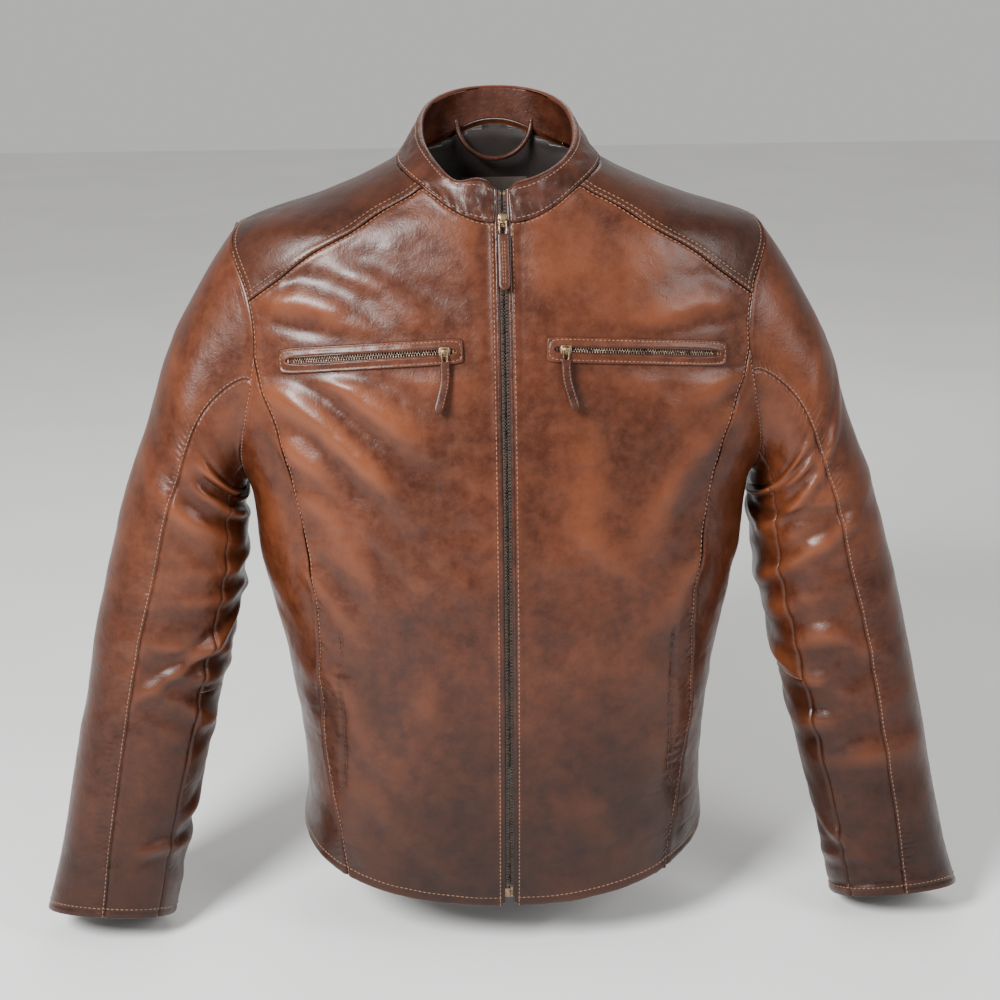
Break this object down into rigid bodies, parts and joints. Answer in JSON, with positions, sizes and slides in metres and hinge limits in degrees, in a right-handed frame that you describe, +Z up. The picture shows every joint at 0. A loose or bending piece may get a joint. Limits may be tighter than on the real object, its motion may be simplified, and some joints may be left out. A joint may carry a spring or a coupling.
{
  "type": "leather riding jacket",
  "caption": "Waist-length leather jacket with a stand collar, full front zip, zipped chest pockets and long panelled sleeves, shown as worn on shoulders.",
  "frame": {"origin": "on the mid-plane at the height where the shoulders meet the neck, where the shoulders carry the jacket", "axes": "+X to the wearer's left, -Y to the front, +Z up"},
  "size_m": [0.854, 0.2731, 0.7548],
  "materials": {
    "cognac_leather": "waxed, semi-gloss, mottled cognac brown",
    "facing_leather": "satin, darker brown",
    "pull_leather": "folded strip, satin, cut edges",
    "lining_fabric": "smooth dark brown satin weave",
    "label_fabric": "plain woven, blank",
    "zip_tape": "woven dark brown tape",
    "zip_teeth": "antiqued, worn on the crowns",
    "antique_brass": "antiqued satin brass"
  },
  "bodies": {
    "jacket_body": {"back_lining": "lining_fabric", "back_panel": "cognac_leather", "blank_label": "label_fabric", "chest_pocket_bag_left": "lining_fabric", "chest_pocket_bag_right": "lining_fabric", "chest_welt_left": "cognac_leather", "chest_welt_right": "cognac_leather", "chest_zip_stops_left": "antique_brass", "chest_zip_stops_right": "antique_brass", "chest_zip_tape_left": "zip_tape", "chest_zip_tape_right": "zip_tape", "chest_zip_teeth_left": "zip_teeth", "chest_zip_teeth_right": "zip_teeth", "collar_inner": "facing_leather", "collar_outer": "cognac_leather", "front_lining_left": "lining_fabric", "front_lining_right": "lining_fabric", "front_panel_left": "cognac_leather", "front_panel_right": "cognac_leather", "hand_pocket_bag_left": "lining_fabric", "hand_pocket_bag_right": "lining_fabric", "hanger_loop": "cognac_leather", "hem_facing": "facing_leather", "main_zip_insertion_pin": "antique_brass", "main_zip_retainer_box": "antique_brass", "main_zip_tape_left": "zip_tape", "main_zip_tape_right": "zip_tape", "main_zip_teeth_left": "zip_teeth", "main_zip_teeth_right": "zip_teeth", "main_zip_top_stops": "antique_brass", "shoulder_yoke_left": "cognac_leather", "shoulder_yoke_right": "cognac_leather", "side_panel_left": "cognac_leather", "side_panel_right": "cognac_leather", "zip_facing_left": "facing_leather", "zip_facing_right": "facing_leather"},
    "main_slider": {"main_slider": "antique_brass"},
    "main_pull": {"main_pull_link": "antique_brass", "main_pull_tab": "pull_leather"},
    "sleeve_left": {"top_sleeve_left": "cognac_leather", "front_sleeve_left": "cognac_leather", "under_sleeve_upper_left": "cognac_leather", "under_sleeve_lower_left": "cognac_leather", "cuff_facing_left": "facing_leather", "sleeve_lining_left": "lining_fabric"},
    "chest_slider_left": {"chest_slider_left": "antique_brass"},
    "chest_pull_left": {"chest_pull_link_left": "antique_brass", "chest_pull_tab_left": "pull_leather"},
    "sleeve_right": {"top_sleeve_right": "cognac_leather", "front_sleeve_right": "cognac_leather", "under_sleeve_upper_right": "cognac_leather", "under_sleeve_lower_right": "cognac_leather", "cuff_facing_right": "facing_leather", "sleeve_lining_right": "lining_fabric"},
    "chest_slider_right": {"chest_slider_right": "antique_brass"},
    "chest_pull_right": {"chest_pull_link_right": "antique_brass", "chest_pull_tab_right": "pull_leather"}
  },
  "joints": [
    {"name": "main_slider_travel", "type": "hinge", "parent": "jacket_body", "child": "main_slider", "pos_m": [0, 1.099, -0.443], "axis": [1, 0, 0], "range_deg": [0, 26.77]},
    {"name": "main_pull_swing", "type": "hinge", "parent": "main_slider", "child": "main_pull", "pos_m": [0, -0.09758, -0.05278], "axis": [-1, 0, 0], "range_deg": [0, 150]},
    {"name": "chest_slider_travel_left", "type": "hinge", "parent": "jacket_body", "child": "chest_slider_left", "pos_m": [0.03885, 0.28892, -0.24718], "axis": [0.0414, 0.218, 0.9751], "range_deg": [0, 17.15]},
    {"name": "chest_pull_swing_left", "type": "hinge", "parent": "chest_slider_left", "child": "chest_pull_left", "pos_m": [0.05059, -0.12715, -0.15465], "axis": [0.0275, -0.9758, 0.217], "range_deg": [-60, 60]},
    {"name": "sleeve_swing_left", "type": "hinge", "parent": "jacket_body", "child": "sleeve_left", "pos_m": [0.226, -0.03, -0.178], "axis": [-1, 0, 0], "range_deg": [-15, 35]},
    {"name": "chest_slider_travel_right", "type": "hinge", "parent": "jacket_body", "child": "chest_slider_right", "pos_m": [-0.03885, 0.28892, -0.24718], "axis": [0.0414, -0.218, -0.9751], "range_deg": [0, 17.15]},
    {"name": "chest_pull_swing_right", "type": "hinge", "parent": "chest_slider_right", "child": "chest_pull_right", "pos_m": [-0.05059, -0.12715, -0.15465], "axis": [0.0275, 0.9758, -0.217], "range_deg": [-60, 60]},
    {"name": "sleeve_swing_right", "type": "hinge", "parent": "jacket_body", "child": "sleeve_right", "pos_m": [-0.226, -0.03, -0.178], "axis": [-1, 0, 0], "range_deg": [-15, 35]}
  ]
}
